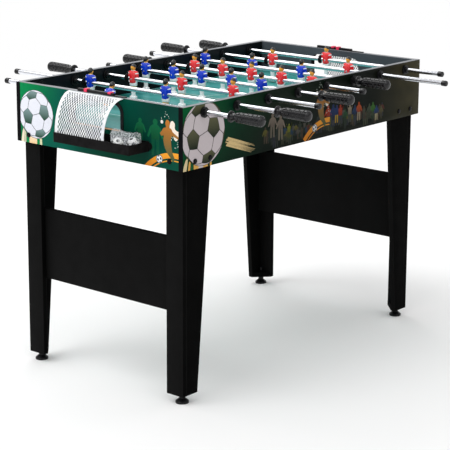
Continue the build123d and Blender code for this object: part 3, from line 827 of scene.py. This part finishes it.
# ---- Goal nets: a white sheet bent over the goal, with rows of upright slots ----
def net(node, turn):
    """The sheet is cut flat, as arc length down and place across, and then bent and slanted.
    turn makes the right end's net, which is the left one turned half round."""
    low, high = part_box("goal_net_left")
    reach = -END_X - low.x
    tray_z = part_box("ball_trays")[1].z
    rise = high.z - tray_z
    skirt = tray_z - low.z
    width = high.y - low.y
    sheet, clearance = 1.6 * MM, 0.15 * MM
    cell_w, row_step = 9.5 * MM, 6.8 * MM
    side_margin, top_margin, foot_margin = 10.5 * MM, 13 * MM, 9 * MM
    slant = 20 * MM

    # arc length down the sheet, from the top of the goal to the end of the skirt
    steps = 200
    arc = [(0.0, Vector((-END_X, 0, high.z)))]
    for k in range(1, steps + 1):
        angle = pi / 2 * k / steps
        point = Vector((-END_X - reach * sin(angle), 0, tray_z + rise * cos(angle)))
        arc.append((arc[-1][0] + (point - arc[-1][1]).length, point))
    arc.append((arc[-1][0] + skirt, Vector((-END_X - reach, 0, low.z))))
    total = arc[-1][0]

    def bent(y, s, depth):
        s = min(max(s, 0.0), total)
        for (s0, p0), (s1, p1) in zip(arc, arc[1:]):
            if s <= s1 + 1e-9:
                along = (p1 - p0).normalized()
                point = p0.lerp(p1, (s - s0) / (s1 - s0))
                bend = point + Vector((-along.z, 0, along.x)) * depth
                out = min((-END_X - bend.x) / reach, 1.0)
                bend.y = y - slant * out * (y / width + 0.5)
                return bend
        return arc[-1][1]

    # six-sided cells, staggered from row to row; those away from the margins have a slot
    bm = bmesh.new()
    tip, shoulder = 0.72 * row_step, 0.28 * row_step
    slot_w, slot_h = 0.27 * cell_w, 0.62 * row_step

    def twelve(half, corner, mid_u, mid_v, top):
        """Twelve points round a cell or a slot, from the quarter right of and above its middle."""
        upper = [(half, 0), (half, corner), (mid_u, mid_v), (0, top), (-mid_u, mid_v), (-half, corner)]
        return upper + [(-u, -v) for u, v in upper]

    outer = twelve(cell_w / 2, shoulder, cell_w / 4, (tip + shoulder) / 2, tip)
    inner = twelve(slot_w, slot_h - 0.9 * slot_w, 0.72 * slot_w, slot_h - 0.3 * slot_w, slot_h)
    shared = {}

    def vert(y, s):
        key = (round(y * 1e5), round(s * 1e5))
        if key not in shared:
            shared[key] = bm.verts.new((y, s, 0.0))
        return shared[key]

    columns = int(width / cell_w / 2) + 1
    for row in range(-1, int(total / row_step) + 3):
        s = row * row_step
        for column in range(-columns, columns + 1):
            y = (column + (0.5 if row % 2 else 0.0)) * cell_w
            ring = [vert(y + u, s + v) for u, v in outer]
            open_cell = abs(y) < width / 2 - side_margin and top_margin < s < total - foot_margin
            if open_cell:
                hole = [bm.verts.new((y + u, s + v, 0.0)) for u, v in inner]
            else:
                middle = bm.verts.new((y, s, 0.0))
            for k in range(12):
                following = (k + 1) % 12
                rest = (hole[following], hole[k]) if open_cell else (middle,)
                bm.faces.new((ring[k], ring[following], *rest))
    for point, normal in (
            ((-width / 2, 0, 0), (-1, 0, 0)), ((width / 2, 0, 0), (1, 0, 0)),
            ((0, 0, 0), (0, -1, 0)), ((0, total, 0), (0, 1, 0))):
        geom = list(bm.verts) + list(bm.edges) + list(bm.faces)
        bmesh.ops.bisect_plane(bm, geom=geom, plane_co=point, plane_no=normal, clear_outer=True)
    flat_verts = list(bm.verts)
    made = bmesh.ops.extrude_face_region(bm, geom=list(bm.faces))
    lifted = [g for g in made["geom"] if isinstance(g, bmesh.types.BMVert)]
    for verts, depth in ((flat_verts, clearance), (lifted, clearance + sheet)):
        for vertex in verts:
            vertex.co = bent(vertex.co.x, vertex.co.y, depth)
    bmesh.ops.recalc_face_normals(bm, faces=bm.faces)
    if turn:
        bmesh.ops.transform(bm, matrix=HALF_TURN, verts=bm.verts)
    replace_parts(piece(node + "_slotted", bm, ("white_sheet",), "table"), node)


net("goal_net_left", False)
net("goal_net_right", True)


# ---- Practice balls in their bag ----
def football(bm, centre, radius, tilt):
    """A ball with raised panels, dark where they are pentagons."""
    spin = Matrix.Rotation(tilt, 3, Vector((0.3, 0.5, 0.8)).normalized())
    made = bmesh.ops.create_icosphere(bm, subdivisions=5, radius=1.0)
    dark_limit = cos(radians(17.5))    # a face is dark within this angle of a corner
    corners = [sum(p, Vector()).normalized() for p in PENTAGONS]
    for face in {f for v in made["verts"] for f in v.link_faces}:
        middle = face.calc_center_median().normalized()
        face.material_index = 1 if max(middle.dot(c) for c in corners) > dark_limit else 0
    for vertex in made["verts"]:
        vertex.co = spin @ vertex.co * radius + centre


def practice_balls():
    bm = bmesh.new()
    low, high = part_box("practice_balls")
    radius = (high.z - low.z) / 2
    z = low.z + radius
    centres = Vector((low.x + radius, high.y - radius, z)), Vector((high.x - radius, low.y + radius, z))
    for k, centre in enumerate(centres):
        football(bm, centre, radius, 0.7 + 1.9 * k)
    balls = piece("practice_balls_panelled", bm, ("ball_white", "ball_black"), "practice_balls")
    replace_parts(balls, "practice_balls")
    return centres


def bag(centres):
    """A clear bag round the balls: a creased pillow of film, pulled up towards its ends."""
    rng = random.Random(21)
    low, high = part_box("ball_trays")
    rim, floor = high.z, low.z + 3.4 * MM
    outermost, innermost = -END_X - 73.6 * MM, -END_X - 3 * MM
    nearest, furthest = -187 * MM, -102 * MM
    ear_rise, crown_drop = 21 * MM, 12 * MM
    middle = (centres[0] + centres[1]) / 2
    middle.z = rim + 5 * MM
    reach = Vector((34, 42, 29)) * MM
    folds = []
    for _ in range(11):
        across = Vector([rng.uniform(-1, 1) for _ in range(3)]).normalized()
        folds.append((across, rng.uniform(3, 8), rng.uniform(0, 6)))
    bm = bmesh.new()
    bmesh.ops.create_icosphere(bm, subdivisions=5, radius=1.0)
    for vertex in bm.verts:
        way = vertex.co.normalized()
        ridges = sum(1 - abs(sin(rate * way.dot(across) + start)) for across, rate, start in folds)
        swell = 1 + 0.4 * (ridges / len(folds) - 0.36)
        point = middle + Vector([w * r * swell for w, r in zip(way, reach)])
        if way.z > 0:
            point.z += ear_rise * abs(way.y) ** 2.5 - crown_drop * way.z
        point.z = max(point.z, floor)
        if point.z < rim + 3 * MM:
            point.x = max(point.x, outermost)
        point.x = min(point.x, innermost)
        point.y = min(max(point.y, nearest), furthest)
        vertex.co = point
    piece("ball_bag", bm, ("bag_film",), "practice_balls", 14.0)


bag(practice_balls())


# ---- Players ----
# Built once in millimetres about the rod axis, facing +X, then
# copied along each rod.  Heights and half widths are from the rod axis.
def oval(z, half_y, half_x, power=2.4, shift=0.0):
    """A rounded-box ring at height z, moved forward by shift."""
    def bulge(value):
        return copysign(abs(value) ** (2 / power), value)

    return [Vector((shift + half_x * bulge(c), half_y * bulge(s), z)) for c, s in around(28)]


def stack(bm, material, *rows):
    """Skin a stack of ovals."""
    loop_faces(bm, [oval(*row) for row in rows], material)


def limb(bm, material, side, *rows):
    """A limb through stations of x, distance out to its side, z, radius along X and radius across."""
    path = [((x, side * out, z), deep, wide) for x, out, z, deep, wide in rows]
    rings = []
    for k, (centre, deep, wide) in enumerate(path):
        before, after = path[max(k - 1, 0)][0], path[min(k + 1, len(path) - 1)][0]
        along = (Vector(after) - Vector(before)).normalized()
        across = along.cross(Vector((1, 0, 0))).normalized()
        front = across.cross(along).normalized()
        rings.append([
            Vector(centre) + front * deep * c + across * wide * s for c, s in around(14)])
    loop_faces(bm, rings, material)


def blob(bm, centre, size, material, cut=None):
    """An ellipsoid, cut off below a plane when cut gives (point, normal)."""
    made = bmesh.ops.create_uvsphere(bm, u_segments=28, v_segments=18, radius=1.0)
    for vertex in made["verts"]:
        vertex.co = Vector(centre) + Vector([c * s for c, s in zip(vertex.co, size)])
    faces = {f for v in made["verts"] for f in v.link_faces}
    for face in faces:
        face.material_index = material
    if cut:
        geom = list(made["verts"]) + list({e for v in made["verts"] for e in v.link_edges}) + list(faces)
        result = bmesh.ops.bisect_plane(
            bm, geom=geom, plane_co=cut[0], plane_no=cut[1], clear_inner=True)
        rim = [g for g in result["geom_cut"] if isinstance(g, bmesh.types.BMEdge)]
        for face in bmesh.ops.edgeloop_fill(bm, edges=rim)["faces"]:
            face.material_index = material


SHIRT, SKIN, HAIR, WHITE, SCREW = range(5)


def player_mesh():
    """One figure: foot, socks, knees, shorts, shirt, arms, head and hair, with its fixing screw."""
    bm = bmesh.new()
    stack(
        bm, WHITE, (-62.0, 9.4, 5.8, 6), (-61.4, 10.0, 6.5, 6), (-51.2, 10.0, 6.5, 6), (-50.0, 9.2, 5.8, 5),
        (-49.6, 6.6, 5.2, 3), (-44.0, 5.8, 4.8), (-37.0, 6.6, 5.4), (-30.0, 6.6, 5.6), (-27.4, 7.6, 6.2),
        (-26.6, 7.6, 6.2))
    stack(bm, SKIN, (-26.9, 7.2, 5.9), (-25.6, 8.6, 6.6), (-22.0, 9.2, 6.8), (-20.2, 9.0, 6.6))
    stack(
        bm, WHITE, (-20.8, 10.6, 7.0), (-20.2, 11.9, 7.6), (-15.0, 12.4, 8.0), (-10.5, 11.8, 8.2),
        (-9.5, 10.8, 7.8))
    stack(
        bm, SHIRT, (-11.6, 9.4, 7.6), (-11.9, 10.6, 8.6), (-10.8, 11.2, 9.1), (-4.0, 11.4, 9.6),
        (3.0, 11.8, 9.6), (10.0, 12.6, 9.0), (16.0, 13.0, 8.0), (19.5, 11.4, 7.0), (21.8, 8.4, 5.8),
        (23.2, 5.6, 5.2))
    stack(bm, WHITE, (22.2, 4.2, 4.4, 2), (23.4, 6.0, 5.9, 2), (24.2, 5.9, 5.8, 2), (24.4, 4.4, 4.5, 2))
    stack(bm, SKIN, (20.0, 4.2, 4.2, 2), (28.0, 4.4, 4.4, 2, 0.4))
    blob(bm, (0.8, 0, 32.6), (7.6, 6.7, 9.4), SKIN)
    blob(bm, (-0.2, 0, 33.2), (8.7, 7.6, 9.6), HAIR, ((0, 0, 32.4), (-0.62, 0, 1.0)))
    blob(bm, (8.0, 0, 31.6), (1.5, 1.1, 1.9), SKIN)
    for side in (-1, 1):
        blob(bm, (0.2, side * 6.9, 31.6), (1.7, 0.9, 2.4), SKIN)
        limb(
            bm, SHIRT, side, (0, 9.0, 20.0, 4.6, 3.4), (0, 12.4, 18.2, 5.4, 4.6), (0, 13.9, 12.0, 5.3, 4.4),
            (-0.2, 14.4, 6.0, 5.2, 3.9), (-0.2, 14.5, 4.6, 4.4, 3.2))
        limb(
            bm, WHITE, side, (0, 12.6, 17.6, 4.8, 4.0), (0, 12.8, 16.8, 5.6, 4.8), (0, 13.4, 14.6, 5.6, 4.7),
            (0, 13.6, 13.9, 4.8, 4.0))
        limb(
            bm, WHITE, side, (-0.2, 14.4, 6.0, 3.8, 2.9), (0.2, 14.3, 0.0, 3.6, 2.8),
            (0.8, 13.9, -6.0, 3.2, 2.5), (1.2, 13.3, -8.6, 3.6, 2.7), (1.4, 12.9, -10.8, 2.6, 1.8))
        place = Matrix.Translation((side * 9.3, 0, -1.0)) @ Matrix.Rotation(side * pi / 2, 4, "Y")
        turned(bm, [(-1.0, 2.5), (0.5, 2.5), (0.9, 2.0), (0.9, 1.1), (0.3, 1.0)], place, 24, SCREW)
    bmesh.ops.scale(bm, vec=(MM, MM, MM), verts=bm.verts)
    bmesh.ops.recalc_face_normals(bm, faces=bm.faces)
    mesh = bpy.data.meshes.new("player_source")
    bm.to_mesh(mesh)
    bm.free()
    return mesh


def rod_places(number):
    """Rod axis X and Z, and the player places read off its CAD solids."""
    low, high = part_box(f"rod_{number}")
    x, z = (low.x + high.x) / 2, (low.z + high.z) / 2
    verts = nodes[f"rod_{number}_players"].data.vertices
    head_height = 38 * MM
    heads = sorted({round(v.co.y, 3) for v in verts if v.co.z > z + head_height})
    groups = [[heads[0]]]
    for y in heads[1:]:
        if y - groups[-1][-1] > 20 * MM:
            groups.append([])
        groups[-1].append(y)
    return x, z, [(g[0] + g[-1]) / 2 for g in groups]


def row_lean(number, x, z):
    """How far a row leans, from the rod's axis to the middle of its soles."""
    verts = nodes[f"rod_{number}_players"].data.vertices
    far = max(hypot(v.co.x - x, v.co.z - z) for v in verts)
    soles = [v.co for v in verts if hypot(v.co.x - x, v.co.z - z) > far - 1 * MM]
    dx = sum(c.x for c in soles) / len(soles) - x
    dz = sum(c.z for c in soles) / len(soles) - z
    return atan2(-dx, -dz)


def place_players(number, source):
    """Copy the figure along a rod; the blue ones face +X and the red ones -X."""
    x, z, places = rod_places(number)
    blue = number in BLUE_RODS
    turn = Matrix.Rotation(row_lean(number, x, z), 4, "Y") @ (Matrix.Identity(4) if blue else HALF_TURN)
    bm = bmesh.new()
    for y in places:
        copy = source.copy()
        copy.transform(Matrix.Translation((x, y, z)) @ turn)
        bm.from_mesh(copy)
        bpy.data.meshes.remove(copy)
    made = piece(
        f"rod_{number}_figures", bm,
        ("blue_shirt" if blue else "red_shirt", "figure_skin", "figure_hair", "figure_white", "screw_steel"),
        f"rod_{number}", 50.0)
    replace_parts(made, f"rod_{number}_players")


BLUE_RODS = (1, 2, 4, 6)
figure = player_mesh()
for number in range(1, 9):
    place_players(number, figure)


# ---- Grips with raised pads, and end caps ----
def grip_mesh(bm, matrix):
    """A handle along +Z of the matrix, outer end at 0, in millimetres."""
    around, pads, pad_pitch, first_pad = 132, 11, 14.6, 9.0
    padded_from, padded_to = 7.0, 84.5
    groove, pad_height, pad_edge = 1.1, 1.7, 0.9
    step, start, end, wide, taper = 0.8, 8.8, 83.6, 14.1, 1.5 / 76.0
    profile = [(0.0, 0.3), (0.2, 4.5), (0.9, 7.6), (2.2, 10.2), (4.2, 12.6), (6.2, 13.7), (8.0, wide)]
    profile += [
        (start + step * k, wide - taper * (start + step * k - 8.0))
        for k in range(int((end - start) / step) + 1)]
    profile += [(86.0, 12.0), (89.0, 10.4), (92.0, 9.5), (102.4, 9.5), (103.0, 9.9), (103.2, 14.4),
                (103.8, 15.0), (106.4, 15.0), (107.0, 14.4), (107.0, 6.4)]
    rings = []
    for along, radius in profile:
        ring = []
        for k in range(around):
            angle = 2 * pi * k / around
            row = angle / (2 * pi) * pads
            reach = radius
            if padded_from < along < padded_to:
                u = (along - first_pad) / pad_pitch + (0.5 if int(row) % 2 else 0.0)
                v = row - int(row)
                edge_u = min(u % 1.0, 1 - u % 1.0) * pad_pitch
                edge_v = min(v, 1 - v) * 2 * pi * radius / pads
                inside = max(0.0, min(edge_u, edge_v * 1.15) - 0.7)
                reach += pad_height * min(1.0, inside / pad_edge) ** 0.6 - groove
            ring.append(matrix @ Vector((reach * cos(angle), reach * sin(angle), along)))
        rings.append(ring)
    loop_faces(bm, rings)


def cap_mesh(bm, matrix):
    """A domed cap along +Z of the matrix, outer end at 0, in millimetres."""
    profile = [(0.0, 5.2), (0.4, 6.3), (1.0, 7.2), (2.0, 7.8), (3.2, 8.0), (4.2, 8.0), (4.4, 7.6),
               (5.0, 7.6), (5.2, 8.0), (15.2, 8.0), (16.0, 7.4), (16.0, 6.4)]
    turned(bm, profile, matrix, 40)


def rod_ends(number):
    """Grip on one end of the rod and cap on the other, from where CAD has them."""
    node = f"rod_{number}_grip_and_cap"
    low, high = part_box(node)
    x, z = (low.x + high.x) / 2, (low.z + high.z) / 2
    cap_limit = 12 * MM    # the end that reaches further from the axis than this has the grip
    grip_low = max(v.co.z for v in nodes[node].data.vertices if v.co.y < 0) - z > cap_limit
    scale = Matrix.Scale(MM, 4)
    at_low = Matrix.Translation((x, low.y, z)) @ Matrix.Rotation(-pi / 2, 4, "X") @ scale
    at_high = Matrix.Translation((x, high.y, z)) @ Matrix.Rotation(pi / 2, 4, "X") @ scale
    bm = bmesh.new()
    grip_mesh(bm, at_low if grip_low else at_high)
    cap_mesh(bm, at_high if grip_low else at_low)
    bmesh.ops.recalc_face_normals(bm, faces=bm.faces)
    made = piece(f"rod_{number}_grip_padded", bm, ("grip_plastic",), f"rod_{number}", 50.0)
    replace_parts(made, node)


for number in range(1, 9):
    rod_ends(number)


# ---- Studio: pale floor, soft light, camera ----
def studio():
    scene = bpy.context.scene
    scene.view_settings.view_transform = "Standard"
    world = bpy.data.worlds.new("studio")
    world.use_nodes = True
    background = world.node_tree.nodes["Background"].inputs
    background["Color"].default_value = (1, 1, 1, 1)
    background["Strength"].default_value = 0.68
    scene.world = world

    bm = bmesh.new()
    reach = 40.0
    corners = ((-1, -1), (1, -1), (1, 1), (-1, 1))
    bm.faces.new([bm.verts.new((x * reach, y * reach, 0)) for x, y in corners])
    mesh = bpy.data.meshes.new("studio_floor")
    bm.to_mesh(mesh)
    bm.free()
    floor = bpy.data.objects.new("studio_floor", mesh)
    scene.collection.objects.link(floor)
    Look("studio_paper", (0.92, 0.92, 0.92), 0.9, Specular_IOR_Level=0.0)
    mesh.materials.append(LOOKS["studio_paper"])

    for name, energy, spread, place in (
            ("key", 1.0, 40, (-0.6, 0.2, 0.95)), ("fill", 0.6, 60, (-0.3, -0.8, 0.95))):
        light(name, "SUN", energy, place, (0, 0, 0), angle=radians(spread))
    box = light(
        "soft_box", "AREA", 26.0, (0.2, 1.5, 2.5), (0, 0, 0.8), shape="RECTANGLE", size=3.0, size_y=1.0)
    box.visible_camera = False


def light(name, kind, energy, place, target, **settings):
    """A light at a place, turned to look at a target."""
    data = bpy.data.lights.new(name, kind)
    data.energy = energy
    for key, value in settings.items():
        setattr(data, key, value)
    made = bpy.data.objects.new(name, data)
    bpy.context.scene.collection.objects.link(made)
    made.location = place
    made.rotation_euler = (Vector(target) - Vector(place)).to_track_quat("-Z", "Y").to_euler()
    return made


def camera():
    """The three-quarter view from the near left, a little above the table."""
    data = bpy.data.cameras.new("camera")
    data.sensor_width = 36.0
    data.lens = 129.0
    data.shift_y = -0.12
    thing = bpy.data.objects.new("camera", data)
    bpy.context.scene.collection.objects.link(thing)
    yaw, down, roll = radians(49.95), radians(12.71), radians(0.24)
    forward = Vector((sin(yaw) * cos(down), cos(yaw) * cos(down), -sin(down)))
    level = Vector((cos(yaw), -sin(yaw), 0))
    upright = level.cross(forward)
    right = level * cos(roll) + upright * sin(roll)
    up = upright * cos(roll) - level * sin(roll)
    thing.matrix_world = Matrix.Translation((-3.505, -2.94, 1.534)) @ Matrix(
        (right, up, -forward)).transposed().to_4x4()
    bpy.context.scene.camera = thing


studio()
camera()
